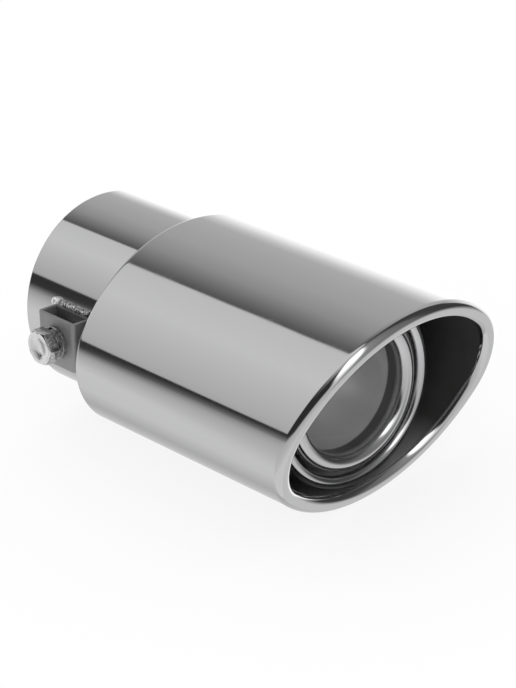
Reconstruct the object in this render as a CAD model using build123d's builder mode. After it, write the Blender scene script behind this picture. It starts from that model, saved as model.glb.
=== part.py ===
from build123d import *
from math import acos, atan2, cos, degrees, radians, sin, sqrt, tan
import os

os.makedirs("parts", exist_ok=True)

# Frame: the origin is the centre of the inlet rim, the pipe axis runs along -Y to the mouth,
# +Z is up and the oval is widest along X. All sizes are millimetres and degrees.

# Inlet sleeve
sleeve_radius = 31.5
sleeve_wall = 1.2
sleeve_exposed = 38.6        # from the inlet rim to the rear wall of the shell
sleeve_overlap = 3.4         # how far the sleeve reaches into the shell
rim_round = 0.4

# Fits between pieces
slip_fit = 0.05              # radial gap of pipes that slide into one another before welding
crown_gap = 0.1              # sleeve to the inside of the shell at its top and bottom
thread_gap = 0.05            # bolt shank to the nut's bore, radial

# Outer shell
shell_wall = 0.8
shell_length = 92.6          # rear wall to the slanted plane of the lip's crest, along the axis
side_reach = 11.2            # how much the oval is wider than it is high, each side
side_radius = 22.7           # outside radius of the two narrow ends of the oval
slash_angle = 19.1           # tilt of the mouth plane, longest at the top
rear_bend = 2.0              # outside radius of the bend into the rear wall

# Rolled lip
lip_radius = 2.45            # outside radius of the roll
lip_roll = 180.0             # how far the edge of the sheet is turned in
lip_flat = 0.3               # short straight run on the crest of the roll

# Pipes inside the shell
pipe_wall = 0.8
middle_step = 4.6            # how far the middle pipe necks in from its skirt
neck_radius = 6.0            # bend radius of both necks, on the bore side
skirt_length = 8.0           # straight skirt at the rear of each pipe
inner_setback = 4.0          # skirt of the inner pipe in front of the middle pipe's neck
ring_gap = 1.4               # dark gap between the two curled mouths
ring_clearance = 4.8         # middle ring behind the sheet of the lip's crest, at its lowest
ring_lead = 0.5              # crest of the inner ring in front of the crest of the middle ring
middle_curl = 1.9            # outside radius of the thin curl
inner_curl = 2.6             # outside radius of the thick curl
curl_turn = 235.0            # how far each mouth is curled back

# Clamp bracket, bolt and nut
bracket_station = 24.9       # bracket centre from the inlet rim
bracket_angle = 10.0         # bracket centre above the wide side of the oval
bracket_length = 17.6
bracket_height = 15.8
bracket_wall = 1.2
bracket_bend = 1.5           # outside radius of the bends
bolt_radius = 3.0
bolt_clearance = 0.3         # radial, in the bracket, the washers and the sleeve
head_flats = 10.0
head_height = 4.0
head_chamfer = 30.0
tip_recess = 0.3             # bolt tip stays this far outside the bore
tip_chamfer = 0.6
washer_radius = 5.2
flat_washer_height = 1.2
spring_radius = 4.95
spring_washer_height = 1.6
spring_slot = 0.9
spring_slot_tilt = 20.0
nut_flats = 10.0
nut_height = 5.0
nut_gap = 0.1                # nut to the bracket's foot

# Weld beads
bead_radius = 1.45
bead_outset = 0.2            # bead axis outside the bracket's edge
bead_lift = 0.5              # bead axis above the skin of the sleeve
blob_radius = 1.75
bead_shift = 2.4             # middle of a bead beyond the bracket's middle, to the side of its blob

# Sizes that follow from the ones above
sleeve_bore = sleeve_radius - sleeve_wall
sleeve_length = sleeve_exposed + sleeve_overlap
half_height = sleeve_radius + crown_gap + shell_wall
half_width = half_height + side_reach
crown_radius = (half_width**2 + half_height**2 - 2 * half_width * side_radius) / (2 * (half_height - side_radius))
side_centre = half_width - side_radius
crown_drop = crown_radius - half_height
joint_angle = degrees(atan2(crown_drop, side_centre))
mouth_station = sleeve_exposed + shell_length
top_station = mouth_station + half_height * tan(radians(slash_angle))
pocket_inset = 2 * lip_radius + lip_flat
pocket_depth = 2 * lip_radius
lip_depth = lip_radius * (1 - sin(radians(lip_roll)))
trim_inset = lip_radius + lip_flat / 2
hole_radius = bolt_radius + bolt_clearance

middle_skirt_bore = sleeve_bore + (sleeve_wall - pipe_wall) / 2
middle_bore = middle_skirt_bore - middle_step
middle_ring = middle_bore + middle_curl
inner_bore = middle_bore - ring_gap - 2 * inner_curl
inner_ring = inner_bore + inner_curl
inner_skirt_bore = middle_bore - slip_fit - pipe_wall
inner_step = inner_skirt_bore - inner_bore
lowest_mouth = mouth_station - middle_ring * tan(radians(slash_angle))
middle_crest = lowest_mouth - shell_wall / cos(radians(slash_angle)) - ring_clearance
inner_crest = middle_crest + ring_lead
middle_turn = degrees(acos(1 - middle_step / (2 * neck_radius)))
inner_turn = degrees(acos(1 - inner_step / (2 * neck_radius)))
middle_neck = 2 * neck_radius * sin(radians(middle_turn))
middle_rear = sleeve_length
inner_rear = middle_rear + skirt_length + middle_neck + inner_setback

bracket_foot = sleeve_radius
bracket_face = bracket_foot + 2 * bracket_wall + nut_gap + nut_height
bracket_depth = bracket_face - bracket_foot
head_seat = bracket_face + flat_washer_height + spring_washer_height
shank_length = head_seat - sleeve_bore - tip_recess

# Planes
inlet_plane = Plane(origin=(0, 0, 0), x_dir=(1, 0, 0), z_dir=(0, -1, 0))
rear_plane = Plane(origin=(0, -sleeve_exposed, 0), x_dir=(1, 0, 0), z_dir=(0, -1, 0))
half_plane = Plane(origin=(0, 0, 0), x_dir=(1, 0, 0), z_dir=(0, 0, -1))
mouth_normal = Vector(0, -cos(radians(slash_angle)), -sin(radians(slash_angle)))
mouth_centre = Vector(0, -mouth_station, 0)
mouth_axis = Axis(origin=(0, 0, 0), direction=tuple(mouth_normal))
bracket_out = Vector(-cos(radians(bracket_angle)), 0, sin(radians(bracket_angle)))
bracket_up = Vector(sin(radians(bracket_angle)), 0, cos(radians(bracket_angle)))
bracket_origin = Vector(0, -bracket_station, 0)


def mouth_plane(depth):
    """Plane of the slanted mouth, moved back into the shell by depth."""
    return Plane(origin=mouth_centre - mouth_normal * depth, x_dir=(1, 0, 0), z_dir=mouth_normal)


def bracket_plane(radius):
    """Plane across the bolt axis at a distance from the pipe axis: x to the mouth, y up round the sleeve."""
    return Plane(origin=bracket_origin + bracket_out * radius, x_dir=(0, -1, 0), z_dir=bracket_out)


def oval_outline(inset):
    """Four tangent arcs of the oval, moved inwards by inset, in the active line."""
    end_radius = side_radius - inset
    flat_radius = crown_radius - inset
    CenterArc((side_centre, 0), end_radius, -joint_angle, 2 * joint_angle)
    CenterArc((0, -crown_drop), flat_radius, joint_angle, 180 - 2 * joint_angle)
    CenterArc((-side_centre, 0), end_radius, 180 - joint_angle, 2 * joint_angle)
    CenterArc((0, crown_drop), flat_radius, 180 + joint_angle, 180 - 2 * joint_angle)


def oval_block(inset, start):
    """Oval prism from a station behind the mouth to beyond its top."""
    plane = Plane(origin=(0, -start, 0), x_dir=(1, 0, 0), z_dir=(0, -1, 0))
    with BuildPart() as block:
        with BuildSketch(plane):
            with BuildLine():
                oval_outline(inset)
            make_face()
        extrude(amount=top_station + lip_radius - start)
    return block.part


def lip_plug(inset):
    """Solid oval plug with a slanted mouth, a pocket in it and rolled edges, all moved inwards by inset."""
    with BuildPart() as pocket:
        add(oval_block(pocket_inset - inset, sleeve_exposed))
        split(bisect_by=mouth_plane(pocket_depth), keep=Keep.TOP)
    with BuildPart() as plug:
        add(oval_block(inset, sleeve_exposed + inset))
        split(bisect_by=mouth_plane(inset), keep=Keep.BOTTOM)
        rear_face = plug.faces().sort_by(Axis.Y)[-1]
        fillet(rear_face.edges(), radius=rear_bend - inset)
        add(pocket.part, mode=Mode.SUBTRACT)
        front_face = plug.faces().filter_by(GeomType.PLANE).sort_by(mouth_axis)[-1]
        fillet(front_face.edges(), radius=lip_radius - inset)
    return plug.part


def pipe_wall_outline(skirt_bore, rear, turn, curl, crest):
    """Section of a necked pipe with a curled mouth, as radius and station, in the active line."""
    curl_start = crest - curl
    bore_skirt = Line((skirt_bore, rear), (skirt_bore, rear + skirt_length))
    bore_in = JernArc(bore_skirt @ 1, bore_skirt % 1, neck_radius, turn)
    bore_out = JernArc(bore_in @ 1, bore_in % 1, neck_radius, -turn)
    bore_run = Line(bore_out @ 1, ((bore_out @ 1).X, curl_start))
    bore_curl = JernArc(bore_run @ 1, bore_run % 1, curl, -curl_turn)
    skin = skirt_bore + pipe_wall
    skin_skirt = Line((skin, rear), (skin, rear + skirt_length))
    skin_in = JernArc(skin_skirt @ 1, skin_skirt % 1, neck_radius + pipe_wall, turn)
    skin_out = JernArc(skin_in @ 1, skin_in % 1, neck_radius - pipe_wall, -turn)
    skin_run = Line(skin_out @ 1, ((skin_out @ 1).X, curl_start))
    skin_curl = JernArc(skin_run @ 1, skin_run % 1, curl - pipe_wall, -curl_turn)
    Line(bore_skirt @ 0, skin_skirt @ 0)
    Line(bore_curl @ 1, skin_curl @ 1)


# Oval shell: skin of the plug, trimmed where the rolled edge ends and pierced for the sleeve
with BuildPart() as lip_trim:
    add(oval_block(trim_inset, mouth_station - half_width))
    split(bisect_by=mouth_plane(lip_depth), keep=Keep.BOTTOM)
    split(bisect_by=mouth_plane(pocket_depth + lip_radius), keep=Keep.TOP)

with BuildPart() as outer_shell:
    add(lip_plug(0))
    add(lip_plug(shell_wall), mode=Mode.SUBTRACT)
    add(lip_trim.part, mode=Mode.SUBTRACT)
    with BuildSketch(rear_plane):
        Circle(sleeve_radius + slip_fit)
    extrude(amount=2 * rear_bend, both=True, mode=Mode.SUBTRACT)

# Round sleeve with the bolt hole in its side
with BuildPart() as inlet_sleeve:
    with BuildSketch(inlet_plane):
        Circle(sleeve_radius)
        Circle(sleeve_bore, mode=Mode.SUBTRACT)
    extrude(amount=sleeve_length)
    rim_face = inlet_sleeve.faces().sort_by(Axis.Y)[-1]
    fillet(rim_face.edges().sort_by(SortBy.RADIUS)[-1], radius=rim_round)
    with BuildSketch(bracket_plane(0)):
        Circle(hole_radius)
    extrude(amount=sleeve_radius + bracket_depth, mode=Mode.SUBTRACT)

# Necked pipes with curled mouths
with BuildPart() as middle_pipe:
    with BuildSketch(half_plane):
        with BuildLine():
            pipe_wall_outline(middle_skirt_bore, middle_rear, middle_turn, middle_curl, middle_crest)
        make_face()
    revolve(axis=Axis.Y)

with BuildPart() as inner_pipe:
    with BuildSketch(half_plane):
        with BuildLine():
            pipe_wall_outline(inner_skirt_bore, inner_rear, inner_turn, inner_curl, inner_crest)
        make_face()
    revolve(axis=Axis.Y)

# Bracket: a strip bent into a box, open above and below
bracket_section = Plane(origin=bracket_origin, x_dir=(0, -1, 0), z_dir=-bracket_up)
with BuildPart() as clamp_bracket:
    with BuildSketch(bracket_section):
        with Locations((0, (bracket_foot + bracket_face) / 2)):
            RectangleRounded(bracket_length, bracket_depth, bracket_bend)
            RectangleRounded(
                bracket_length - 2 * bracket_wall,
                bracket_depth - 2 * bracket_wall,
                bracket_bend - bracket_wall,
                mode=Mode.SUBTRACT,
            )
    extrude(amount=bracket_height / 2, both=True)
    with BuildSketch(bracket_plane(0)):
        Circle(hole_radius)
    extrude(amount=bracket_face + bracket_wall, mode=Mode.SUBTRACT)


def weld_bead(side, blob_end):
    """Bead along one edge of the bracket's foot, with a blob at one end, cut to the sleeve and the foot."""
    edge = side * bracket_height / 2
    axis_offset = edge + side * bead_outset
    drop = sqrt(sleeve_radius**2 - axis_offset**2)
    bead_end = bracket_length / 2 - bracket_bend
    start = Plane(
        origin=bracket_origin + bracket_up * axis_offset + bracket_out * (drop + bead_lift),
        x_dir=bracket_up,
        z_dir=(0, -1, 0),
    ).offset(blob_end * bead_shift)
    with BuildPart() as bead:
        with BuildSketch(start.offset(-bead_end)):
            Circle(bead_radius)
        extrude(amount=2 * bead_end)
        with Locations(start.offset(blob_end * bead_end)):
            Sphere(blob_radius)
        with Locations(start.offset(-blob_end * bead_end)):
            Sphere(bead_radius)
        with BuildSketch(inlet_plane):
            Circle(sleeve_radius)
        extrude(amount=sleeve_length, mode=Mode.SUBTRACT)
        with BuildSketch(bracket_section):
            with Locations((0, (bracket_foot + bracket_face) / 2)):
                RectangleRounded(bracket_length, bracket_depth, bracket_bend)
        extrude(amount=bracket_height / 2, both=True, mode=Mode.SUBTRACT)
    return bead.part


with BuildPart() as weld_bead_upper:
    add(weld_bead(1, -1))

with BuildPart() as weld_bead_lower:
    add(weld_bead(-1, 1))

# Set bolt, washers and nut
with BuildPart() as clamp_bolt:
    with BuildSketch(bracket_plane(head_seat)):
        RegularPolygon(radius=head_flats / 2, side_count=6, major_radius=False)
    extrude(amount=head_height)
    with BuildSketch(Plane(origin=bracket_origin, x_dir=(0, -1, 0), z_dir=-bracket_up)):
        with BuildLine():
            corner = head_flats
            rise = (corner - head_flats / 2) * tan(radians(head_chamfer))
            Polyline(
                (0, head_seat),
                (corner, head_seat),
                (corner, head_seat + head_height - rise),
                (head_flats / 2, head_seat + head_height),
                (0, head_seat + head_height),
                close=True,
            )
        make_face()
    revolve(axis=Axis(origin=tuple(bracket_origin), direction=tuple(bracket_out)), mode=Mode.INTERSECT)
    with BuildSketch(bracket_plane(head_seat)):
        Circle(bolt_radius)
    extrude(amount=-shank_length)
    tip_face = clamp_bolt.faces().sort_by(Axis(origin=(0, 0, 0), direction=tuple(bracket_out)))[0]
    chamfer(tip_face.edges(), length=tip_chamfer)

with BuildPart() as flat_washer:
    with BuildSketch(bracket_plane(bracket_face)):
        Circle(washer_radius)
        Circle(hole_radius, mode=Mode.SUBTRACT)
    extrude(amount=flat_washer_height)

with BuildPart() as spring_washer:
    with BuildSketch(bracket_plane(bracket_face + flat_washer_height)):
        Circle(spring_radius)
        Circle(hole_radius, mode=Mode.SUBTRACT)
    extrude(amount=spring_washer_height)
    slot_centre = bracket_face + flat_washer_height + spring_washer_height / 2
    with Locations(bracket_plane(slot_centre) * Pos(0, spring_radius, 0) * Rot(0, spring_slot_tilt, 0)):
        Box(spring_slot, 2 * spring_radius, 3 * spring_washer_height, mode=Mode.SUBTRACT)

with BuildPart() as clamp_nut:
    with BuildSketch(bracket_plane(bracket_face - bracket_wall)):
        RegularPolygon(radius=nut_flats / 2, side_count=6, major_radius=False)
        Circle(bolt_radius + thread_gap, mode=Mode.SUBTRACT)
    extrude(amount=-nut_height)

outer_shell.part.label = "outer_shell"
inlet_sleeve.part.label = "inlet_sleeve"
middle_pipe.part.label = "middle_pipe"
inner_pipe.part.label = "inner_pipe"
clamp_bracket.part.label = "clamp_bracket"
weld_bead_upper.part.label = "weld_bead_upper"
weld_bead_lower.part.label = "weld_bead_lower"
clamp_bolt.part.label = "clamp_bolt"
flat_washer.part.label = "flat_washer"
spring_washer.part.label = "spring_washer"
clamp_nut.part.label = "clamp_nut"

export_step(outer_shell.part, "parts/outer_shell.step")
export_step(inlet_sleeve.part, "parts/inlet_sleeve.step")
export_step(middle_pipe.part, "parts/middle_pipe.step")
export_step(inner_pipe.part, "parts/inner_pipe.step")
export_step(clamp_bracket.part, "parts/clamp_bracket.step")
export_step(weld_bead_upper.part, "parts/weld_bead_upper.step")
export_step(weld_bead_lower.part, "parts/weld_bead_lower.step")
export_step(clamp_bolt.part, "parts/clamp_bolt.step")
export_step(flat_washer.part, "parts/flat_washer.step")
export_step(spring_washer.part, "parts/spring_washer.step")
export_step(clamp_nut.part, "parts/clamp_nut.step")
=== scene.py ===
from functools import partial
from math import acos, atan2, cos, hypot, pi, radians, sin

import bmesh
import bpy
from bpy.props import FloatProperty, FloatVectorProperty, IntProperty, PointerProperty
from mathutils import Matrix, Vector


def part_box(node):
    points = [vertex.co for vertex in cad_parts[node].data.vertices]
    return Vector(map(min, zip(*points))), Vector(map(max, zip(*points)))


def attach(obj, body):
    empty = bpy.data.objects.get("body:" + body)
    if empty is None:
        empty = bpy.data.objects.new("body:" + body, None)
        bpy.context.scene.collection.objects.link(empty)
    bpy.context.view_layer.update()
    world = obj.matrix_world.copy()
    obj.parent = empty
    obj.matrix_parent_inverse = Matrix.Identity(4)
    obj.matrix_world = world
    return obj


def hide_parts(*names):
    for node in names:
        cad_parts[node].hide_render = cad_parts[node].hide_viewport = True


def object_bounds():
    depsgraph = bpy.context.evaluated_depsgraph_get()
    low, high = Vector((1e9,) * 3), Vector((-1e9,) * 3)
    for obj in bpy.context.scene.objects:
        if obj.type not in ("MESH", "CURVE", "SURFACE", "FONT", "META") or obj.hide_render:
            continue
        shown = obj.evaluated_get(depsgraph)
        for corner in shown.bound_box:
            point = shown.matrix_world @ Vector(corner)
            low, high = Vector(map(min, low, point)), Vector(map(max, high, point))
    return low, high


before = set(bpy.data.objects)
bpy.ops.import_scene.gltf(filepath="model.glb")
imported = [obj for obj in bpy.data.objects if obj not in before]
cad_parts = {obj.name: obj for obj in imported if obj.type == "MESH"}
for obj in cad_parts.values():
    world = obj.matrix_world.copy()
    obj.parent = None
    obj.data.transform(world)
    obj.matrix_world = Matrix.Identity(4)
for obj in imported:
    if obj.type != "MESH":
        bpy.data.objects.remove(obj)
CAD_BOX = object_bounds()
MM = 0.001

bl_info = {
    "name": "Exhaust tip",
    "version": (1, 0, 0),
    "blender": (4, 5, 0),
    "location": "3D View > Sidebar > Exhaust tip",
    "description": "Dresses an oval exhaust tip: shell, curled pipes, bracket, bolt and a light studio",
    "category": "Add Mesh",
}


# Sizes and colours

def length(name, description, metres):
    """A length that the user can change, in metres."""
    return FloatProperty(
        name=name, description=description, default=metres, min=0.0, unit="LENGTH", precision=5
    )


def angle(name, description, degrees):
    """An angle that the user can change, given in degrees."""
    return FloatProperty(name=name, description=description, default=radians(degrees), subtype="ANGLE")


def linear(hex_code):
    """Linear RGB of an sRGB hex colour."""
    channels = [int(hex_code[i : i + 2], 16) / 255 for i in (1, 3, 5)]
    return tuple(c / 12.92 if c <= 0.04045 else ((c + 0.055) / 1.055) ** 2.4 for c in channels)


def colour(name, description, hex_code):
    """A colour that the user can change, given as sRGB hex."""
    return FloatVectorProperty(
        name=name, description=description, default=linear(hex_code), subtype="COLOR", min=0.0, max=1.0
    )


SHELL_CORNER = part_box("outer_shell")[1]
SLEEVE_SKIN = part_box("inlet_sleeve")[1].x
CURL_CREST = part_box("middle_pipe")[0].y


class ShellSizes(bpy.types.PropertyGroup):
    """Sizes of the oval shell and its rolled lip."""

    half_width: length("Half width", "Half of the oval's width, outside", SHELL_CORNER.x)
    half_height: length("Half height", "Half of the oval's height, outside", SHELL_CORNER.z)
    side_radius: length("Side radius", "Outside radius of the oval's narrow ends", 22.7 * MM)
    wall: length("Wall", "Thickness of the sheet", 0.8 * MM)
    rear: length("Rear", "Inlet rim to the rear wall, along the axis", -SHELL_CORNER.y)
    mouth: length("Mouth", "Inlet rim to the slanted plane of the lip's crest, on the axis", 131.2 * MM)
    slash: angle("Slash", "Tilt of the mouth plane", 19.1)
    rear_bend: length("Rear bend", "Outside radius of the bend into the rear wall", 2.0 * MM)
    lip_radius: length("Lip radius", "Outside radius of the rolled lip", 2.45 * MM)
    lip_flat: length("Lip flat", "Straight run on the crest of the lip", 0.3 * MM)
    sleeve_hole: length("Sleeve hole", "Radius of the hole for the sleeve", SLEEVE_SKIN + 0.05 * MM)
    facets: IntProperty(name="Facets", description="Steps around the oval", default=360, min=48)


class PipeSizes(bpy.types.PropertyGroup):
    """Sizes of the two curled pipes in the mouth."""

    wall: length("Wall", "Thickness of the pipes", 0.8 * MM)
    skirt: length("Skirt", "Straight length at the rear of each pipe", 8.0 * MM)
    neck_radius: length("Neck radius", "Bend radius of the necks", 6.0 * MM)
    curl_turn: angle("Curl turn", "How far each mouth is curled back", 235.0)
    middle_bore: length("Middle bore", "Bore radius of the middle pipe", 25.9 * MM)
    middle_curl: length("Middle curl", "Outside radius of the thin curl", 1.9 * MM)
    inner_bore: length("Inner bore", "Bore radius of the inner pipe", 19.3 * MM)
    inner_curl: length("Inner curl", "Outside radius of the thick curl", 2.6 * MM)
    facets: IntProperty(name="Facets", description="Steps around a pipe", default=180, min=24)


class ClampSizes(bpy.types.PropertyGroup):
    """Sizes of the bracket's edges, the bolt and the weld beads."""

    bracket_angle: angle("Bracket angle", "Bracket above the wide side of the oval", 10.0)
    bracket_station: length("Bracket station", "Bracket centre from the inlet rim", 24.9 * MM)
    head_seat: length("Head seat", "Underside of the bolt head from the pipe axis", 41.8 * MM)
    head_height: length("Head height", "Height of the bolt head", 4.0 * MM)
    thread_radius: length("Thread radius", "Crest of the bolt's thread", 3.0 * MM)
    thread_pitch: length("Thread pitch", "Pitch of the bolt's thread", 1.0 * MM)
    shank_length: length("Shank length", "Bolt below its head", 11.2 * MM)
    sheet_edge: length("Sheet edge", "Rounding of the bracket's cut edges", 0.14 * MM)
    bolt_edge: length("Bolt edge", "Rounding of the edges of the bolt head and the nut", 0.22 * MM)
    head_rim: length("Head rim", "Flat rim round the dish that is pressed into the bolt head", 0.9 * MM)
    head_dish: length("Head dish", "Depth of the dish in the bolt head", 0.35 * MM)
    washer_edge: length("Washer edge", "Rounding of the washers' edges", 0.25 * MM)
    bead_radius: length("Bead radius", "Radius of the weld beads", 1.45 * MM)
    blob_radius: length("Blob radius", "Radius of the blob at the end of a bead", 1.75 * MM)
    bead_length: length("Bead length", "Weld bead between the centres of its ends", 14.6 * MM)
    bead_offset: length("Bead offset", "Bead's axis from the middle of the bracket", 8.1 * MM)
    bead_shift: length("Bead shift", "How far a bead is shifted to the side of its blob", 2.4 * MM)
    bead_seat: length("Bead seat", "Bead's axis from the pipe axis, along the bolt", 30.94 * MM)
    bead_sink: length("Bead sink", "How deep the flat of a bead lies in the sleeve's skin", 0.05 * MM)
    ripple_pitch: length("Ripple pitch", "Distance between the ripples of a bead", 1.1 * MM)


class Finishes(bpy.types.PropertyGroup):
    """Colours of the metals."""

    polished: colour("Polished stainless", "Mirror polished sheet", "#CBCBCC")
    inside: colour("Unpolished inside", "Inside of the shell", "#8A8A8A")
    # Painted light: pale tint painted low inside the shell to lift its shaded hollow.
    low_painted_light: colour("Dust", "Polishing dust low inside the shell", "#C8C8C8")
    bore: colour("Satin bore", "Bores of the pipes and the sleeve", "#DADADA")
    # Painted reflection: dark band painted behind the inner curl.
    painted_dark_band: colour("Dull band", "Band behind the inner curl that the polish doesn't reach", "#686868")
    strip: colour("Plain strip", "Cold-rolled strip of the bracket", "#B6B6B6")
    weld: colour("Weld metal", "Weld beads", "#F0F0F0")
    zinc: colour("Bright zinc", "Zinc plated bolt, washers and nut", "#E2E2E2")


class StageSizes(bpy.types.PropertyGroup):
    """Camera and floor of the studio."""

    aim: FloatVectorProperty(
        name="Aim",
        description="Point on the object that the camera looks at",
        default=(0.34 * MM, -73.44 * MM, 2.44 * MM),
        unit="LENGTH",
        precision=5,
    )
    azimuth: angle("Azimuth", "Camera around the object, from the mouth's side", -36.8)
    elevation: angle("Elevation", "Camera above the horizon", 29.32)
    roll: angle("Roll", "Camera turned about its line of sight", -10.16)
    distance: length("Distance", "Camera to the point it looks at", 0.8)
    lens: FloatProperty(name="Lens", description="Focal length", default=140.1, unit="CAMERA")
    floor_size: length("Floor size", "Side of the square floor", 12.0)


class TipSettings(bpy.types.PropertyGroup):
    """Everything about the exhaust tip that can be set."""

    shell: PointerProperty(type=ShellSizes)
    pipes: PointerProperty(type=PipeSizes)
    clamp: PointerProperty(type=ClampSizes)
    finishes: PointerProperty(type=Finishes)
    stage: PointerProperty(type=StageSizes)


# Tools for meshes and nodes

# Points that lie closer together are one point.
MERGE = 0.001 * MM
FINE_MERGE = 0.0001 * MM
# Edges that turn further are drawn sharp: on bent sheet, and on small cut or forged parts.
SHEET_SHARP = radians(35)
SMALL_SHARP = radians(20)
# Kinds of the node trees' inputs, where they aren't floats.
INPUT_KINDS = {
    "Axis": "Vector", "Place": "Vector", "Turn": "Vector", "Facets": "Int", "Material": "Material",
}


def add_node(tree, kind, inputs=(), stops=(), **settings):
    """Adds a node with its settings and the grey stops of its ramp, and fills its inputs.

    Its kind is named without ShaderNode or GeometryNode in front. The inputs in use are given by name or in
    order, which is value, from, to, new from and new to for a MapRange, and factor, A and B for a Mix. A
    socket is linked, a node is linked by its first output in use, and a list links several.
    """
    prefix = next(p for p in ("ShaderNode", "GeometryNode", "") if hasattr(bpy.types, p + kind))
    made = tree.nodes.new(prefix + kind)
    for name, value in settings.items():
        setattr(made, name, value)
    for index, (position, level) in enumerate(stops):
        elements = made.color_ramp.elements
        stop = elements[index] if index < len(elements) else elements.new(1.0)
        stop.position = position
        stop.color = (level, level, level, 1.0)
    in_use = [s for s in made.inputs if s.enabled]
    for key, value in inputs.items() if isinstance(inputs, dict) else enumerate(inputs):
        socket = next(s for i, s in enumerate(in_use) if key in (i, s.name))
        for source in value if isinstance(value, list) else [value]:
            if isinstance(source, bpy.types.Node):
                source = next(s for s in source.outputs if s.enabled)
            if isinstance(source, bpy.types.NodeSocket):
                tree.links.new(source, socket)
            else:
                socket.default_value = source
    return made


def add_piece(name, mesh):
    """Puts a mesh into the scene as an object at the origin."""
    piece = bpy.data.objects.new(name, mesh)
    bpy.context.scene.collection.objects.link(piece)
    return piece


def seat(piece, slot, *nodes):
    """Lets a piece stand for its solids: hides them and attaches the piece to the root body."""
    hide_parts(*nodes)
    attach(piece, "root")


def mesh_from(bm, name, materials, sharp_angle):
    """Plain smooth mesh of a bmesh, with sharp edges past an angle."""
    mesh = bpy.data.meshes.new(name)
    bm.to_mesh(mesh)
    bm.free()
    for material in materials:
        mesh.materials.append(material)
    mesh.shade_smooth()
    mesh.set_sharp_from_angle(angle=sharp_angle)
    return mesh


def node_tree(name, labels):
    """New geometry node tree with named inputs and one output, and add_node for this tree."""
    tree = bpy.data.node_groups.new(name, "GeometryNodeTree")
    for label in labels:
        kind = INPUT_KINDS.get(label, "Float")
        tree.interface.new_socket(label, in_out="INPUT", socket_type="NodeSocket" + kind)
    tree.interface.new_socket("Geometry", in_out="OUTPUT", socket_type="NodeSocketGeometry")
    return tree, partial(add_node, tree)


def end_tree(add, shape, material):
    """Ends a geometry node tree: its shape smooth, without instances and in one metal."""
    smooth = add("SetShadeSmooth", {"Geometry": shape})
    whole = add("RealizeInstances", {"Geometry": smooth})
    dressed = add("SetMaterial", {"Geometry": whole, "Material": material})
    add("NodeGroupOutput", {"Geometry": dressed})


def grown_piece(name, tree, values):
    """Plain mesh object of a node tree's result, with the tree's named inputs set first."""
    piece = add_piece(name, bpy.data.meshes.new(name))
    modifier = piece.modifiers.new(tree.name, "NODES")
    modifier.node_group = tree
    identifiers = {s.name: s.identifier for s in tree.interface.items_tree if s.in_out == "INPUT"}
    for key, value in values.items():
        modifier[identifiers[key]] = value
    graph = bpy.context.evaluated_depsgraph_get()
    mesh = bpy.data.meshes.new_from_object(piece.evaluated_get(graph))
    piece.modifiers.remove(modifier)
    piece.data = mesh
    mesh.name = name
    material = mesh.materials[-1]
    mesh.materials.clear()
    mesh.materials.append(material)
    return piece


# Metals

WHITE = (1.0, 1.0, 1.0)
# Leaves out the part of a place that lies along the pipe axis.
ACROSS_AXIS = (1.0, 0.0, 1.0)


def shade(tint, level=1.0):
    """Colour for a socket: a tint at a level of its light."""
    return (*[channel * level for channel in tint], 1.0)


def emptied(owner):
    """Clears the nodes of a material or a world, and returns add_node for its tree."""
    owner.use_nodes = True
    owner.node_tree.nodes.clear()
    return partial(add_node, owner.node_tree)


def metal(name):
    """New material for a metal, add_node for its tree, and its object coordinates."""
    material = bpy.data.materials.new(name)
    add = emptied(material)
    return material, add, add("TexCoord").outputs["Object"]


def coat(add, inputs):
    """Ends a metal's tree with its shader, which is bare metal unless the inputs say otherwise."""
    shader = add("BsdfPrincipled", {"Metallic": 1.0, **inputs})
    add("OutputMaterial", {"Surface": shader})


def from_axis(add, coords):
    """Way of a place out from the pipe axis, and its length."""
    across = add("VectorMath", (coords, ACROSS_AXIS), operation="MULTIPLY")
    return across, add("VectorMath", (across,), operation="LENGTH")


def drawn_lines(add, coords, stretch, size, detail=2.0):
    """Fine lines that drawing, rolling or polishing leaves: noise that is stretched along some axes."""
    stretched = add("Mapping", {"Vector": coords, "Scale": stretch})
    return add("TexNoise", {"Vector": stretched, "Scale": 1 / size, "Detail": detail})


def polished_stainless(finishes):
    """Mirror polished stainless sheet: a hard picture of the studio, hardly softened by the polish."""
    material, add, coords = metal("stainless_mirror_polished")
    # Polishing leaves cloudy patches about 12 mm across and faint lines that run round the tube.
    clouds = add("TexNoise", {"Vector": coords, "Scale": 1 / (12 * MM), "Detail": 3.0})
    lines = drawn_lines(add, coords, (0.08, 1.0, 0.08), 0.7 * MM)
    mixed = add("Math", (clouds, lines), operation="MULTIPLY")
    rough = add("MapRange", (mixed, 0.1, 0.4, 0.04, 0.085))
    # The thin sheet is never quite even, so long edges in the reflection waver a little.
    waves = add("TexNoise", {"Vector": coords, "Scale": 1 / (30 * MM), "Detail": 1.0})
    bump = add("Bump", {"Height": waves, "Strength": 0.06, "Distance": 1.0 * MM})
    coat(add, {"Base Color": shade(finishes.polished), "Roughness": rough, "Normal": bump})
    return material


def unpolished_inside(finishes):
    """Inside of the sheet as it left the mill: grey, unpolished and mottled, and painted paler low down as
    painted light in the shaded hollow.
    """
    material, add, coords = metal("stainless_mill_finish")
    mottle = add("TexNoise", {"Vector": coords, "Scale": 1 / (6 * MM), "Detail": 4.0})
    inside = finishes.inside
    bare = add("Mix", (mottle, shade(inside, 0.75), shade(inside)), data_type="RGBA")
    # Painted light: low in the hollow the sheet is painted paler and less metallic, so that its shaded
    # pocket is lifted out of black.
    height = add("SeparateXYZ", (coords,)).outputs["Z"]
    low_painted_light = add("MapRange", (height, -23 * MM, -30 * MM))
    tone = add("Mix", (low_painted_light, bare, shade(finishes.low_painted_light)), data_type="RGBA")
    film = add("MapRange", (low_painted_light, 0.0, 1.0, 0.75, 0.1))
    coat(add, {"Base Color": tone, "Metallic": film, "Roughness": 0.42})
    return material


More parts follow.
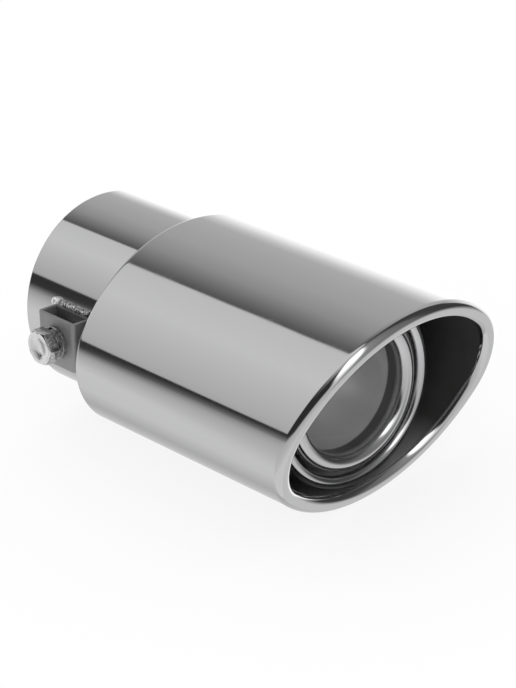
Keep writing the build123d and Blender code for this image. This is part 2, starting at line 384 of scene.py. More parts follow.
def polish_over_satin(add, coords, finishes, polish, satin_tone, gloss, bare):
    """Blends drawn satin into polish where the polish factor says so.

    gloss is the roughness of the polish, and bare is how far the satin is free of its pale film.
    """
    tone = add("Mix", (polish, satin_tone, shade(finishes.polished)), data_type="RGBA")
    # Drawing leaves fine lines along the bore, about 0.8 mm apart.
    lines = drawn_lines(add, coords, (1.0, 0.03, 1.0), 0.8 * MM)
    satin = add("MapRange", (lines, 0.3, 0.7, 0.2, 0.26))
    rough = add("Mix", (polish, satin, gloss), data_type="FLOAT")
    film = add("MapRange", (polish, 0.0, 1.0, bare, 1.0))
    coat(add, {"Base Color": tone, "Metallic": film, "Roughness": rough})


def sleeve_stainless(finishes):
    """Polished tube with a drawn bore: a mirror outside and a soft grey sheen inside."""
    material, add, coords = metal("stainless_polished_tube_satin_bore")
    _, reach = from_axis(add, coords)
    polish = add("MapRange", (reach, SLEEVE_SKIN - 0.9 * MM, SLEEVE_SKIN - 0.3 * MM))
    polish_over_satin(add, coords, finishes, polish, shade(finishes.bore), gloss=0.06, bare=0.75)
    return material


def pipe_stainless(finishes, pipes):
    """Drawn pipe with a polished curl: a bright ring, a painted dark band behind it that stands in for a
    dark reflection, and a grey satin bore.
    """
    material, add, coords = metal("stainless_polished_curl_satin_bore")
    station = add("SeparateXYZ", (coords,)).outputs["Y"]
    polish = add("MapRange", (station, CURL_CREST + 3.6 * MM, CURL_CREST + 2.0 * MM))
    # Painted reflection: a dark band is painted just behind the inner curl, near the bore, in place of a
    # dark reflection on the curl's inner flank.
    band = add("MapRange", (station, CURL_CREST + 7.0 * MM, CURL_CREST + 6.4 * MM))
    _, reach = from_axis(add, coords)
    bore = pipes.inner_bore
    within = add("MapRange", (reach, bore + 0.6 * MM, bore + 0.2 * MM))
    painted_dark_band = add("Math", (band, within), operation="MULTIPLY")
    satin_tone = add("Mix", (painted_dark_band, shade(finishes.bore), shade(finishes.painted_dark_band)), data_type="RGBA")
    # The pipes' backs keep the pale film of the annealing, so a little light gets down between the rings.
    bare = add("MapRange", (within, 0.0, 1.0, 0.1, 0.75))
    polish_over_satin(add, coords, finishes, polish, satin_tone, gloss=0.17, bare=bare)
    return material


def plain_strip(finishes):
    """Cold-rolled stainless strip: even mid grey with a faint grain, and painted shade near the sleeve."""
    material, add, coords = metal("stainless_cold_rolled_strip")
    # Rolling draws the grain out along the strip, in lines about 0.5 mm apart.
    grain = drawn_lines(add, coords, (1.0, 0.08, 1.0), 0.5 * MM, 3.0)
    strip = finishes.strip
    rolled = add("Mix", (grain, shade(strip, 0.86), shade(strip)), data_type="RGBA")
    # Painted shade: the strip is painted darker near the sleeve, fading out about 6 mm away from it, for
    # the shade inside the box.
    _, reach = from_axis(add, coords)
    painted_shade = add("MapRange", (reach, SLEEVE_SKIN + 6 * MM, SLEEVE_SKIN + 1 * MM))
    with_painted_shade = add("Mix", (painted_shade, rolled, shade(strip, 0.5)), data_type="RGBA")
    bump = add("Bump", {"Height": grain, "Strength": 0.15, "Distance": 0.05 * MM})
    coat(add, {"Base Color": with_painted_shade, "Roughness": 0.6, "Normal": bump})
    return material


def weld_metal(finishes, clamp):
    """Fresh weld metal: scaly spots that break the light into sparks, and a blob at one end painted white
    and half diffuse as a painted highlight.
    """
    material, add, coords = metal("weld_bead_bright")
    scale = add("TexNoise", {"Vector": coords, "Scale": 1 / (0.9 * MM), "Detail": 4.0})
    spots = add("MapRange", (scale, 0.42, 0.6))
    # Both blobs lie further from the bracket's middle than the beads' other ends do.
    station = add("SeparateXYZ", (coords,)).outputs["Y"]
    off_middle = add("Math", (station, clamp.bracket_station), operation="ADD")
    off_middle = add("Math", (off_middle,), operation="ABSOLUTE")
    blob = add("MapRange", (off_middle, 7.2 * MM, 8.4 * MM))
    # Painted highlight: the blob is kept at the full white of the weld and made half diffuse, so it shows
    # as a bright spot.
    spots_and_highlight = add("Math", (spots, blob), operation="MAXIMUM")
    weld = finishes.weld
    tone = add("Mix", (spots_and_highlight, shade(weld, 0.3), shade(weld)), data_type="RGBA")
    film = add("MapRange", (blob, 0.0, 1.0, 1.0, 0.5))
    bump = add("Bump", {"Height": scale, "Strength": 0.8, "Distance": 0.3 * MM})
    coat(add, {"Base Color": tone, "Metallic": film, "Roughness": 0.2, "Normal": bump})
    return material


def bright_zinc(finishes, clamp):
    """Bright zinc plating on forged steel: pale, shiny and uneven, with grey specks below the head's face
    that are partly painted shade on its sides.
    """
    material, add, coords = metal("steel_bright_zinc_plated")
    cloud = add("TexNoise", {"Vector": coords, "Scale": 1 / (1.6 * MM), "Detail": 3.0})
    rough = add("MapRange", (cloud, 0.3, 0.7, 0.12, 0.28))
    bump = add("Bump", {"Height": cloud, "Strength": 0.25, "Distance": 0.12 * MM})
    # Partly painted shade: the grey specks are kept off the face of the head, so they darken its sides, the
    # washers and the nut.
    grit = add("TexNoise", {"Vector": coords, "Scale": 1 / (0.5 * MM), "Detail": 1.0})
    specks = add("MapRange", (grit, 0.75, 0.4))
    out = clamp_axes(clamp)[1]
    along = add("VectorMath", (coords, out), operation="DOT_PRODUCT")
    face = clamp.head_seat + clamp.head_height
    sides = add("MapRange", (along, face - 0.45 * MM, face - 0.75 * MM))
    specks_and_painted_shade = add("Math", (specks, sides), operation="MULTIPLY")
    zinc = finishes.zinc
    tone = add("Mix", (specks_and_painted_shade, shade(zinc), shade(zinc, 0.4)), data_type="RGBA")
    coat(add, {"Base Color": tone, "Roughness": rough, "Normal": bump})
    return material


# Oval shell

# Points of the sheet's section, on its outer and its inner skin.
REAR_WALL_STEPS = (4, 3)
REAR_BEND_STEPS = (10, 7)
SIDE_WALL_STEPS = (9, 5)
LIP_STEPS = (24, 14)
# Halvings that find where the sleeve's hole cuts into the rear bend.
HALVINGS = 40


class Oval:
    """Oval of four tangent arcs, followed by the angle of its outward normal in the XZ plane."""

    def __init__(self, sizes):
        width, height, side = sizes.half_width, sizes.half_height, sizes.side_radius
        self.side_radius = side
        self.crown_radius = (width**2 + height**2 - 2 * width * side) / (2 * (height - side))
        self.side_centre = width - side
        self.crown_drop = self.crown_radius - height
        self.joint = atan2(self.crown_drop, self.side_centre)

    def point(self, turn, inset):
        """X and Z of the oval moved inwards by inset, where its normal has this angle."""
        across, up = cos(turn), sin(turn)
        if abs(atan2(up, abs(across))) <= self.joint:
            centre = self.side_centre if across > 0 else -self.side_centre
            return centre + (self.side_radius - inset) * across, (self.side_radius - inset) * up
        drop = -self.crown_drop if up > 0 else self.crown_drop
        return (self.crown_radius - inset) * across, drop + (self.crown_radius - inset) * up


def spread(start, end, count):
    """Evenly spaced values from start to end, both included."""
    return [start + (end - start) * i / (count - 1) for i in range(count)]


def rear_run(sizes, oval, turn, radius, wall_steps, bend_steps):
    """Points of one skin from the sleeve's hole along the rear wall and round its bend, at one place."""
    bend = sizes.rear_bend

    def on_bend(tilt):
        x, z = oval.point(turn, bend - radius * cos(tilt))
        return Vector((x, -(sizes.rear + bend - radius * sin(tilt)), z))

    first = on_bend(pi / 2)
    reach = hypot(first.x, first.z)
    if reach > sizes.sleeve_hole:
        scale = sizes.sleeve_hole / reach
        edge = Vector((first.x * scale, first.y, first.z * scale))
        start = pi / 2
    else:
        low, high = 0.0, pi / 2
        for _ in range(HALVINGS):
            start = (low + high) / 2
            there = on_bend(start)
            low, high = (start, high) if hypot(there.x, there.z) > sizes.sleeve_hole else (low, start)
        edge = on_bend(start)
    flat = [edge.lerp(on_bend(start), share) for share in spread(0.0, 1.0, wall_steps)]
    return flat + [on_bend(tilt) for tilt in spread(start, 0.0, bend_steps)[1:]]


def shell_section(sizes, oval, turn):
    """Closed section of the sheet at one place on the oval: outer skin, cut edge of the lip, inner skin.

    The lip is rolled round a ball that touches the wall and the mouth plane, so its bend radius is the
    same all round although the mouth is slanted. It is turned right back and cut level with the middle of
    the roll. Returns the points and how many belong to the outer skin.
    """
    slant, wall = sizes.slash, sizes.wall
    forward = Vector((0, -cos(slant), -sin(slant)))
    outward = Vector((cos(turn), 0, sin(turn)))
    inward = (forward * outward.dot(forward) - outward).normalized()

    def ball_centre(inset):
        x, z = oval.point(turn, inset)
        return Vector((x, -sizes.mouth + (sizes.lip_radius - sin(slant) * z) / cos(slant), z))

    first = ball_centre(sizes.lip_radius)
    second = ball_centre(sizes.lip_radius + sizes.lip_flat)
    opening = acos(outward.dot(forward))
    last_tilt = min(pi / 2, pi - opening)
    margin = sizes.rear_bend / 4

    def roll(radius, share):
        toward = outward * sin(opening * (1 - share)) + forward * sin(opening * share)
        return first + toward * (radius / sin(opening))

    def turn_in(radius, tilt):
        return second + (forward * cos(tilt) + inward * sin(tilt)) * radius

    skins = []
    for depth, wall_steps, bend_steps, side_steps, lip_steps in zip(
        (0.0, wall), REAR_WALL_STEPS, REAR_BEND_STEPS, SIDE_WALL_STEPS, LIP_STEPS
    ):
        radius = sizes.lip_radius - depth
        skin = rear_run(sizes, oval, turn, sizes.rear_bend - depth, wall_steps, bend_steps)
        x, z = oval.point(turn, depth)
        begin = -(sizes.rear + sizes.rear_bend) - margin
        skin += [Vector((x, y, z)) for y in spread(begin, first.y + margin, side_steps)]
        skin += [roll(radius, share) for share in spread(0.0, 1.0, lip_steps)]
        skin += [turn_in(radius, tilt) for tilt in spread(0.0, last_tilt, lip_steps)]
        skin.append(skin[-1] + Vector((0, radius * cos(last_tilt) / cos(slant), 0)))
        skins.append(skin)
    outer, inner = skins
    return outer + inner[::-1], len(outer)


def oval_shell_mesh(sizes, materials):
    """Whole shell: its section carried round the oval, polished outside and dull inside."""
    oval = Oval(sizes)
    bm = bmesh.new()
    rings = []
    for step in range(sizes.facets):
        points, outer_count = shell_section(sizes, oval, 2 * pi * step / sizes.facets)
        rings.append([bm.verts.new(point) for point in points])
    count = len(rings[0])
    for ring, following in zip(rings, rings[1:] + rings[:1]):
        for i in range(count):
            j = (i + 1) % count
            face = bm.faces.new((ring[i], following[i], following[j], ring[j]))
            face.material_index = 0 if i < outer_count else 1
    bmesh.ops.remove_doubles(bm, verts=bm.verts, dist=FINE_MERGE)
    bmesh.ops.recalc_face_normals(bm, faces=bm.faces)
    return mesh_from(bm, "oval_shell", materials, SHEET_SHARP)


class EXHAUST_OT_oval_shell(bpy.types.Operator):
    """Builds the oval shell with its slanted rolled lip"""

    bl_idname = "exhaust_tip.oval_shell"
    bl_label = "Oval shell"

    def execute(self, context):
        tip = context.scene.exhaust_tip
        materials = [polished_stainless(tip.finishes), unpolished_inside(tip.finishes)]
        piece = add_piece("oval_shell", oval_shell_mesh(tip.shell, materials))
        seat(piece, "polished_stainless", "outer_shell")
        return {"FINISHED"}


class EXHAUST_OT_sleeve(bpy.types.Operator):
    """Gives the round inlet sleeve its polished skin and satin bore"""

    bl_idname = "exhaust_tip.sleeve"
    bl_label = "Inlet sleeve"

    def execute(self, context):
        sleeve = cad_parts["inlet_sleeve"]
        sleeve.data.materials.clear()
        sleeve.data.materials.append(sleeve_stainless(context.scene.exhaust_tip.finishes))
        return {"FINISHED"}


# Curled pipes

NECK_STEPS = 14
CURL_STEPS = 48
PIPE_INPUTS = (
    "Skirt bore", "Rear", "Skirt end", "Neck end", "Neck radius", "Neck turn", "Bore", "Curl radius",
    "Curl turn", "Crest", "Wall", "Facets", "Material",
)


def curled_pipe_tree():
    """Node tree of a turned pipe: skirt, two neck bends, run and curl, swept round and given a wall."""
    tree, add = node_tree("Curled pipe", PIPE_INPUTS)
    size = dict(add("NodeGroupInput").outputs.items())
    for name, operation, *sources in (
        ("Neck in", "SUBTRACT", "Skirt bore", "Neck radius"),
        ("Neck out", "ADD", "Bore", "Neck radius"),
        ("Neck out start", "ADD", "Neck turn", pi),
        ("Neck out turn", "MULTIPLY", "Neck turn", -1.0),
        ("Curl middle", "ADD", "Bore", "Curl radius"),
        ("Curl station", "SUBTRACT", "Crest", "Curl radius"),
        ("Curl back", "MULTIPLY", "Curl turn", -1.0),
        ("To axis", "MULTIPLY", "Bore", -1.0),
    ):
        size[name] = add("Math", [size.get(s, s) for s in sources], operation=operation)
    place = {}
    for name, *sources in (
        ("rear", "Skirt bore", "Rear"),
        ("skirt end", "Skirt bore", "Skirt end"),
        ("neck in", "Neck in", "Skirt end"),
        ("neck out", "Neck out", "Neck end"),
        ("neck end", "Bore", "Neck end"),
        ("run end", "Bore", "Curl station"),
        ("curl", "Curl middle", "Curl station"),
        ("to axis", "To axis"),
    ):
        place[name] = add("CombineXYZ", [size[s] for s in sources])
    section = []
    for start, end in (("rear", "skirt end"), ("neck end", "run end")):
        ends = {"Start": place[start], "End": place[end]}
        section.append(add("CurvePrimitiveLine", ends))
    for centre, steps, radius, start, turn in (
        ("neck in", NECK_STEPS, "Neck radius", 0.0, "Neck turn"),
        ("neck out", NECK_STEPS, "Neck radius", "Neck out start", "Neck out turn"),
        ("curl", CURL_STEPS, "Curl radius", pi, "Curl back"),
    ):
        bend = {"Resolution": steps, "Radius": size[radius], "Start Angle": size.get(start, start)}
        arc = add("CurveArc", {**bend, "Sweep Angle": size[turn]}, mode="RADIUS")
        section.append(add("Transform", {"Geometry": arc, "Translation": place[centre]}))
    joined = add("JoinGeometry", {"Geometry": section})
    from_bore = add("Transform", {"Geometry": joined, "Translation": place["to axis"]})
    circle = add("CurvePrimitiveCircle", {"Resolution": size["Facets"], "Radius": size["Bore"]})
    upright = add("SetCurveNormal", {"Curve": circle}, mode="Z_UP")
    swept = add("CurveToMesh", {"Curve": upright, "Profile Curve": from_bore})
    laid = add("Transform", {"Geometry": swept, "Rotation": (-pi / 2, 0.0, 0.0)})
    skin = add("MergeByDistance", {"Geometry": laid, "Distance": MERGE})
    back = add("FlipFaces", {"Mesh": skin})
    raised = add(
        "ExtrudeMesh", {"Mesh": skin, "Offset Scale": size["Wall"], "Individual": False}, mode="FACES"
    )
    walls = add("JoinGeometry", {"Geometry": [back, raised]})
    closed = add("MergeByDistance", {"Geometry": walls, "Distance": MERGE})
    end_tree(add, closed, size["Material"])
    return tree


def curled_pipe(name, node, tree, pipes, bore, curl, material):
    """One curled pipe that stands for a solid and takes its ends from it."""
    low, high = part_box(node)
    rear, crest = -high.y, -low.y
    skirt_bore = high.x - pipes.wall
    skirt_end = rear + pipes.skirt
    neck_turn = acos(1 - (skirt_bore - bore) / (2 * pipes.neck_radius))
    values = {
        "Skirt bore": skirt_bore,
        "Rear": rear,
        "Skirt end": skirt_end,
        "Neck end": skirt_end + 2 * pipes.neck_radius * sin(neck_turn),
        "Neck radius": pipes.neck_radius,
        "Neck turn": neck_turn,
        "Bore": bore,
        "Curl radius": curl,
        "Curl turn": pipes.curl_turn,
        "Crest": crest,
        "Wall": pipes.wall,
        "Facets": pipes.facets,
        "Material": material,
    }
    piece = grown_piece(name, tree, values)
    piece.data.set_sharp_from_angle(angle=SHEET_SHARP)
    seat(piece, "polished_stainless", node)


class EXHAUST_OT_pipes(bpy.types.Operator):
    """Turns the two curled pipes in the mouth"""

    bl_idname = "exhaust_tip.pipes"
    bl_label = "Curled pipes"

    def execute(self, context):
        tip = context.scene.exhaust_tip
        pipes = tip.pipes
        tree = curled_pipe_tree()
        drawn = pipe_stainless(tip.finishes, pipes)
        for name, node, bore, curl in (
            ("middle_curled_pipe", "middle_pipe", pipes.middle_bore, pipes.middle_curl),
            ("inner_curled_pipe", "inner_pipe", pipes.inner_bore, pipes.inner_curl),
        ):
            curled_pipe(name, node, tree, pipes, bore, curl, drawn)
        return {"FINISHED"}


# Bracket, bolt and weld beads

# Faces of a solid that turn less are one face, and edges that turn more are rounded.
ONE_FACE = radians(1)
HARD_EDGE = radians(28)
ROUNDING_STEPS = 3


def clamp_axes(clamp):
    """Bracket's middle on the pipe axis, the way out along the bolt and the way up along the bracket."""
    lift = clamp.bracket_angle
    middle = Vector((0, -clamp.bracket_station, 0))
    return middle, Vector((-cos(lift), 0, sin(lift))), Vector((sin(lift), 0, cos(lift)))


def rounded_copy(node, edge):
    """Merged copy of a solid's mesh with its hard edges rounded."""
    bm = bmesh.new()
    bm.from_mesh(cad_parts[node].data)
    bmesh.ops.remove_doubles(bm, verts=bm.verts, dist=MERGE)
    bmesh.ops.dissolve_limit(bm, angle_limit=ONE_FACE, verts=bm.verts, edges=bm.edges)
    hard = [e for e in bm.edges if e.calc_face_angle() > HARD_EDGE]
    bmesh.ops.bevel(
        bm, geom=hard, offset=edge, segments=ROUNDING_STEPS, profile=0.5, affect="EDGES", clamp_overlap=True
    )
    return bm


def dress_solid(name, node, bm, slot, material):
    """Lets a worked copy of a solid stand for it, in one metal."""
    mesh = mesh_from(bm, name, [material], SMALL_SHARP)
    # The solid's own normals no longer fit the rounded edges.
    mesh.attributes.remove(mesh.attributes["custom_normal"])
    seat(add_piece(name, mesh), slot, node)


class EXHAUST_OT_bracket(bpy.types.Operator):
    """Rounds the cut edges of the bracket and gives it its plain strip finish"""

    bl_idname = "exhaust_tip.bracket"
    bl_label = "Bracket"

    def execute(self, context):
        tip = context.scene.exhaust_tip
        bm = rounded_copy("clamp_bracket", tip.clamp.sheet_edge)
        dress_solid("bracket", "clamp_bracket", bm, "plain_stainless", plain_strip(tip.finishes))
        return {"FINISHED"}


THREAD_FACETS = 48
THREAD_STEPS = 168
# A thread is about 0.6 pitch deep, and its flanks are cut flat at the crest.
THREAD_DEPTH = 0.6
THREAD_CREST = 0.44
THREAD_INPUTS = ("Radius", "Pitch", "Length", "Place", "Turn", "Material")


def thread_tree():
    """Node tree of a threaded shank: a bar whose radius falls and rises once per pitch along its helix."""
    tree, add = node_tree("Bolt thread", THREAD_INPUTS)
    given = add("NodeGroupInput").outputs
    steps = {"Vertices": THREAD_FACETS, "Side Segments": THREAD_STEPS}
    bar = add("MeshCylinder", {**steps, "Radius": given["Radius"], "Depth": given["Length"]})
    spot = add("InputPosition")
    axes = add("SeparateXYZ", (spot,)).outputs
    turns = add("Math", (axes["Y"], axes["X"]), operation="ARCTAN2")
    turns = add("Math", (turns, 1 / (2 * pi)), operation="MULTIPLY")
    climb = add("Math", (axes["Z"], given["Pitch"]), operation="DIVIDE")
    phase = add("Math", (climb, turns), operation="SUBTRACT")
    wave = add("Math", (phase, 0.5), operation="PINGPONG")
    depth = add("MapRange", (wave, 0.0, THREAD_CREST, THREAD_DEPTH, 0.0))
    cut = add("Math", (depth, given["Pitch"]), operation="MULTIPLY")
    share = add("Math", (cut, given["Radius"]), operation="DIVIDE")
    kept = add("Math", (1.0, share), operation="SUBTRACT")
    across = add("Math", (axes["X"], kept), operation="MULTIPLY")
    along = add("Math", (axes["Y"], kept), operation="MULTIPLY")
    place = add("CombineXYZ", {"X": across, "Y": along, "Z": axes["Z"]})
    cut_bar = add("SetPosition", {"Geometry": bar, "Position": place})
    stood = add(
        "Transform", {"Geometry": cut_bar, "Translation": given["Place"], "Rotation": given["Turn"]}
    )
    end_tree(add, stood, given["Material"])
    return tree


class EXHAUST_OT_bolt(bpy.types.Operator):
    """Builds the set bolt with its thread, its washers and the nut in the bracket"""

    bl_idname = "exhaust_tip.bolt"
    bl_label = "Bolt, washers and nut"

    def execute(self, context):
        tip = context.scene.exhaust_tip
        clamp = tip.clamp
        zinc = bright_zinc(tip.finishes, clamp)
        middle, out, _ = clamp_axes(clamp)
        # The solid keeps its head and a short stub, and the threaded shank takes up the rest.
        stub = clamp.thread_pitch / 2
        below = clamp.shank_length - stub
        values = {
            "Radius": clamp.thread_radius,
            "Pitch": clamp.thread_pitch,
            "Length": below,
            "Place": middle + out * (clamp.head_seat - clamp.shank_length + below / 2),
            "Turn": out.to_track_quat("Z", "Y").to_euler(),
            "Material": zinc,
        }
        thread = grown_piece("thread", thread_tree(), values)
        bm = rounded_copy("clamp_bolt", clamp.bolt_edge)
        face = max(bm.faces, key=lambda f: f.calc_area() * f.normal.dot(out))
        dish = clamp.head_dish
        for inset, drop in ((clamp.head_rim, 0.0), (2 * dish, dish / 2), (dish, dish / 2)):
            bmesh.ops.inset_region(bm, faces=[face], thickness=inset, depth=-drop)
        cut = bmesh.ops.bisect_plane(
            bm,
            geom=[*bm.verts, *bm.edges, *bm.faces],
            plane_co=middle + out * (clamp.head_seat - stub),
            plane_no=out,
            clear_inner=True,
        )
        rim = [e for e in cut["geom_cut"] if isinstance(e, bmesh.types.BMEdge)]
        bmesh.ops.holes_fill(bm, edges=rim, sides=0)
        bm.from_mesh(thread.data)
        bpy.data.objects.remove(thread)
        dress_solid("set_bolt", "clamp_bolt", bm, "zinc_plated_steel", zinc)
        for name, node, edge in (
            ("plain_washer", "flat_washer", clamp.washer_edge),
            ("split_washer", "spring_washer", clamp.washer_edge),
            ("hex_nut", "clamp_nut", clamp.bolt_edge),
        ):
            dress_solid(name, node, rounded_copy(node, edge), "zinc_plated_steel", zinc)
        return {"FINISHED"}


BEAD_STEPS = 140
BEAD_FACETS = 40
# Share of a bead's girth that is left between its ripples.
RIPPLE_GIRTH = 0.86
# Size of the lumps, and how far they dent the bead.
LUMP_SIZE = 1.3 * MM
LUMP_DEPTH = 0.3 * MM
# Keeps the square root away from zero at the tips, in square metres.
LEAST_SQUARE = 1e-10
BEAD_INPUTS = (
    "Axis", "Half length", "Radius", "Blob radius", "Blob station", "Front", "Back", "Ripple pitch",
    "Sleeve radius", "Seed", "Material",
)


def weld_bead_tree():
    """Node tree of a weld bead: a lumpy bar with ripples and a blob, pressed flat on the sleeve."""
    tree, add = node_tree("Weld bead", BEAD_INPUTS)
    given = add("NodeGroupInput").outputs
    front = add("CombineXYZ", {"Y": given["Front"]})
    back = add("CombineXYZ", {"Y": given["Back"]})
    line = add("CurvePrimitiveLine", {"Start": back, "End": front})
    path = add("ResampleCurve", {"Curve": line, "Count": BEAD_STEPS})
    spot = add("InputPosition")
    station = add("SeparateXYZ", (spot,)).outputs["Y"]
    # The bar ends in half balls, and the blob is a larger ball at one of its ends.
    past = add("Math", (station,), operation="ABSOLUTE")
    past = add("Math", (past, given["Half length"]), operation="SUBTRACT")
    past = add("Math", (past, 0.0), operation="MAXIMUM")
    from_blob = add("Math", (station, given["Blob station"]), operation="SUBTRACT")
    girths = []
    for radius, offset in ((given["Radius"], past), (given["Blob radius"], from_blob)):
        whole = add("Math", (radius, radius), operation="MULTIPLY")
        lost = add("Math", (offset, offset), operation="MULTIPLY")
        left = add("Math", (whole, lost), operation="SUBTRACT")
        left = add("Math", (left, LEAST_SQUARE), operation="MAXIMUM")
        girths.append(add("Math", (left,), operation="SQRT"))
    girth = add("Math", (girths[0], girths[1]), operation="MAXIMUM")
    phase = add("Math", (station, given["Ripple pitch"]), operation="DIVIDE")
    ripple = add("Math", (phase, 0.5), operation="PINGPONG")
    swell = add("MapRange", (ripple, 0.0, 0.5, RIPPLE_GIRTH, 1.0))
    girth = add("Math", (girth, swell), operation="MULTIPLY")
    ring = add("CurvePrimitiveCircle", {"Resolution": BEAD_FACETS, "Radius": 1.0})
    bar = add("CurveToMesh", {"Curve": path, "Profile Curve": ring, "Scale": girth, "Fill Caps": True})
    moved = add("Transform", {"Geometry": bar, "Translation": given["Axis"]})
    grain = {"Vector": spot, "W": given["Seed"], "Scale": 1 / LUMP_SIZE, "Detail": 2.0}
    lumps = add("TexNoise", grain, noise_dimensions="4D")
    push = add("MapRange", (lumps, 0.3, 0.7, -LUMP_DEPTH, 0.0))
    normal = add("InputNormal")
    shift = add("VectorMath", (normal, push), operation="SCALE")
    lumpy = add("SetPosition", {"Geometry": moved, "Offset": shift})
    # Whatever would lie inside the sleeve is lifted out to its skin.
    across, reach = from_axis(add, spot)
    lift = add("Math", (given["Sleeve radius"], reach), operation="DIVIDE")
    lift = add("Math", (lift, 1.0), operation="SUBTRACT")
    lift = add("Math", (lift, 0.0), operation="MAXIMUM")
    outward = add("VectorMath", (across, lift), operation="SCALE")
    pressed = add("SetPosition", {"Geometry": lumpy, "Offset": outward})
    end_tree(add, pressed, given["Material"])
    return tree


class EXHAUST_OT_weld_beads(bpy.types.Operator):
    """Lays the two weld beads along the foot of the bracket"""

    bl_idname = "exhaust_tip.weld_beads"
    bl_label = "Weld beads"

    def execute(self, context):
        tip = context.scene.exhaust_tip
        clamp = tip.clamp
        tree = weld_bead_tree()
        bright = weld_metal(tip.finishes, clamp)
        middle, out, up = clamp_axes(clamp)
        half = clamp.bead_length / 2
        # The upper bead has its blob at the inlet's end, and the lower one at the other end.
        for name, node, side in (
            ("bead_above", "weld_bead_upper", 1),
            ("bead_below", "weld_bead_lower", -1),
        ):
            shift = Vector((0, side * clamp.bead_shift, 0))
            ends = {side: half + clamp.blob_radius, -side: half + clamp.bead_radius}
            values = {
                "Axis": middle + up * (side * clamp.bead_offset) + out * clamp.bead_seat + shift,
                "Half length": half,
                "Radius": clamp.bead_radius,
                "Blob radius": clamp.blob_radius,
                "Blob station": side * half,
                "Back": ends[1],
                "Front": -ends[-1],
                "Ripple pitch": clamp.ripple_pitch,
                "Sleeve radius": SLEEVE_SKIN - clamp.bead_sink,
                "Seed": float(side),
                "Material": bright,
            }
            seat(grown_piece(name, tree, values), "weld_metal", node)
        return {"FINISHED"}


# Studio

# What the metal sees of the studio, as degrees and light level.
# Behind the tip: panels round the pipe axis, counted from the right over the top to the left and below.
AROUND = (
    (0, 1.08), (7, 0.82), (15, 0.61), (47, 0.54), (63, 0.42), (83.6, 0.11), (84.4, 0.81), (110, 0.87),
    (154.6, 0.61), (155.4, 0.04), (167, 0.05), (171, 0.22), (176, 0.5), (182, 0.66), (190, 0.8),
    (200, 0.9), (230, 0.85), (260, 0.6), (300, 0.75), (316, 1.5), (350, 1.35), (360, 1.08),
)
# In front of it on the left: by height above the horizon.
LEFT = (
    (-90, 0.9), (-40, 0.88), (-28, 0.78), (-15, 0.72), (0, 0.66), (8, 0.58), (10.5, 0.33),
    (13, 0.2), (15, 0.12), (17, 0.05), (20, 0.035), (48, 0.035), (58, 0.14), (72, 0.55), (90, 0.6),
)
# In front of it on the right: by the compass, counted from the mouth's direction.
RIGHT = ((0, 0.5), (10, 0.36), (25, 0.26), (40, 0.2), (48, 0.09), (60, 0.065), (90, 0.065))
# Low on the right it is lighter, by height.
LOW_RIGHT = 0.8
LOW_EDGE = (-12, -32)
# The left goes over into the right, by the compass.
SIDE_EDGE = (-6, 6)
# Where the panels behind take over, by the compass.
BEHIND = ((-180, 1.0), (-139, 1.0), (-132, 0.0), (84, 0.0), (92, 1.0), (180, 1.0))
# They reach a little further round above the dark gap on the left: by height, from none to full.
REACH_EDGE = (13, 18)
REACH = 4
# The lamp is a tall soft box whose left edge leans out with height and whose lower part is dimmer.
# Each edge: its measure, the degrees of its dark and its full end, and the share left at the dark end.
LAMP_LEVEL = 2.0
LAMP_LEAN = 0.45
LAMP_EDGES = (
    ("lean", -14, -3, 0.0),
    ("compass", 9, 0, 0.0),
    ("height", 0, 10, 0.0),
    ("height", 18, 30, 0.55),
    ("height", 80, 70, 0.0),
)
# The floor's own grey, and the glow that lifts it for the camera.
FLOOR_TONE = 0.9
FLOOR_GLOW = 1.03
FLOOR_GLOW_SHARE = 0.8


def studio_world():
    """White all round for the camera. For the metal, panels of light and dark and a lamp by the camera."""
    world = bpy.data.worlds.new("studio")
    add = emptied(world)
    way = add("TexCoord").outputs["Generated"]
    axes = add("SeparateXYZ", (way,)).outputs
    ahead = add("Math", (axes["Y"], -1.0), operation="MULTIPLY")
    seen = {}
    for name, operation, sources in (
        ("roll", "ARCTAN2", (axes["Z"], axes["X"])),
        ("compass", "ARCTAN2", (axes["X"], ahead)),
        ("height", "ARCSINE", (axes["Z"],)),
    ):
        turned = add("Math", sources, operation=operation)
        seen[name] = add("Math", (turned,), operation="DEGREES")
    seen["roll"] = add("Math", (seen["roll"], 360.0, 0.0), operation="WRAP")
    further = add("MapRange", (seen["height"], *REACH_EDGE, 0, REACH))
    seen["reach"] = add("Math", (seen["compass"], further), operation="SUBTRACT")
    seen["lean"] = add("Math", (seen["height"], LAMP_LEAN, seen["compass"]), operation="MULTIPLY_ADD")

    levels = []
    for measure, stops in (("roll", AROUND), ("height", LEFT), ("compass", RIGHT), ("reach", BEHIND)):
        first, last = stops[0][0], stops[-1][0]
        share = add("MapRange", (seen[measure], first, last))
        placed = [((degrees - first) / (last - first), level) for degrees, level in stops]
        levels.append(add("ValToRGB", (share,), placed))
    around, left, right, behind = levels
    low = add("MapRange", (seen["height"], *LOW_EDGE))
    side = add("MapRange", (seen["compass"], *SIDE_EDGE))
    lamp = 1.0
    for measure, dark, full, least in LAMP_EDGES:
        edge = add("MapRange", (seen[measure], dark, full, least), interpolation_type="SMOOTHSTEP")
        lamp = add("Math", (lamp, edge), operation="MULTIPLY")
    glossy = add("LightPath").outputs["Is Glossy Ray"]
    light = right
    for factor, before, after in (
        (low, None, shade(WHITE, LOW_RIGHT)),
        (side, left, None),
        (behind, None, around),
        (lamp, None, shade(WHITE, LAMP_LEVEL)),
        (glossy, shade(WHITE), None),
    ):
        light = add("Mix", (factor, before or light, after or light), data_type="RGBA")
    background = add("Background", {"Color": light, "Strength": 1.0})
    add("OutputWorld", {"Surface": background})
    bpy.context.scene.world = world


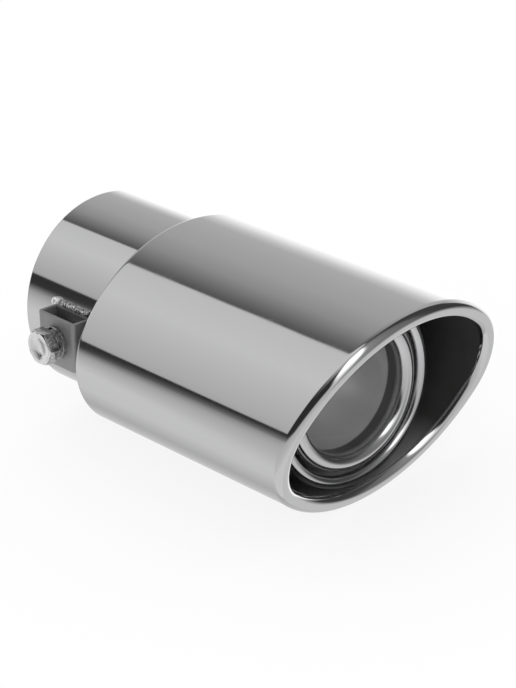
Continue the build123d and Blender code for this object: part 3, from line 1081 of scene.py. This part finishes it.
def pale_floor(stage):
    """Matt white floor: near white to the camera, with a soft shadow. The metal doesn't see it."""
    bm = bmesh.new()
    bmesh.ops.create_grid(bm, x_segments=1, y_segments=1, size=stage.floor_size / 2)
    bmesh.ops.translate(bm, verts=bm.verts, vec=(0, 0, CAD_BOX[0].z))
    material = bpy.data.materials.new("floor_matt_white")
    add = emptied(material)
    matt = add("BsdfDiffuse", {"Color": shade(WHITE, FLOOR_TONE)})
    glow = add("Emission", {"Color": shade(WHITE), "Strength": FLOOR_GLOW})
    seen = add("LightPath").outputs["Is Camera Ray"]
    share = add("Math", (seen, FLOOR_GLOW_SHARE), operation="MULTIPLY")
    mixed = add("MixShader", (share, matt, glow))
    add("OutputMaterial", {"Surface": mixed})
    floor = add_piece("floor", mesh_from(bm, "floor", [material], pi))
    floor.visible_glossy = False


def photo_camera(stage):
    """Camera on the photograph's line of sight, turned and framed as it is."""
    round_about, height, roll = stage.azimuth, stage.elevation, stage.roll
    back = Vector((sin(round_about) * cos(height), -cos(round_about) * cos(height), sin(height)))
    level_right = Vector((cos(round_about), sin(round_about), 0))
    level_up = back.cross(level_right)
    right = level_right * cos(roll) + level_up * sin(roll)
    up = back.cross(right)
    data = bpy.data.cameras.new("photo_camera")
    data.lens = stage.lens
    camera = bpy.data.objects.new("photo_camera", data)
    turned = Matrix((right, up, back)).transposed().to_4x4()
    camera.matrix_world = Matrix.Translation(Vector(stage.aim) + back * stage.distance) @ turned
    bpy.context.scene.collection.objects.link(camera)
    bpy.context.scene.camera = camera


class EXHAUST_OT_stage(bpy.types.Operator):
    """Sets up the floor, the light and the camera"""

    bl_idname = "exhaust_tip.stage"
    bl_label = "Stage"

    def execute(self, context):
        stage = context.scene.exhaust_tip.stage
        context.scene.view_settings.view_transform = "Standard"
        studio_world()
        pale_floor(stage)
        photo_camera(stage)
        return {"FINISHED"}


class EXHAUST_PT_panel(bpy.types.Panel):
    """Lists the steps and the sizes of the exhaust tip"""

    bl_idname = "EXHAUST_PT_panel"
    bl_label = "Exhaust tip"
    bl_space_type = "VIEW_3D"
    bl_region_type = "UI"
    bl_category = "Exhaust tip"

    def draw(self, context):
        tip = context.scene.exhaust_tip
        for step in STEPS:
            self.layout.operator(step.bl_idname)
        for group in (tip.shell, tip.pipes, tip.clamp, tip.finishes, tip.stage):
            box = self.layout.box()
            for name in group.__annotations__:
                box.prop(group, name)


GROUPS = (ShellSizes, PipeSizes, ClampSizes, Finishes, StageSizes, TipSettings)
STEPS = (
    EXHAUST_OT_oval_shell,
    EXHAUST_OT_sleeve,
    EXHAUST_OT_pipes,
    EXHAUST_OT_bracket,
    EXHAUST_OT_bolt,
    EXHAUST_OT_weld_beads,
    EXHAUST_OT_stage,
)


def register():
    """Registers the settings, the steps and the panel."""
    for item in (*GROUPS, *STEPS, EXHAUST_PT_panel):
        bpy.utils.register_class(item)
    bpy.types.Scene.exhaust_tip = PointerProperty(type=TipSettings)


def unregister():
    """Takes away what register added, in the opposite order."""
    del bpy.types.Scene.exhaust_tip
    for item in reversed((*GROUPS, *STEPS, EXHAUST_PT_panel)):
        bpy.utils.unregister_class(item)


def main():
    """Builds every piece and the stage."""
    register()
    bpy.ops.exhaust_tip.oval_shell()
    bpy.ops.exhaust_tip.sleeve()
    bpy.ops.exhaust_tip.pipes()
    bpy.ops.exhaust_tip.bracket()
    bpy.ops.exhaust_tip.bolt()
    bpy.ops.exhaust_tip.weld_beads()
    bpy.ops.exhaust_tip.stage()


if __name__ == "__main__":
    main()
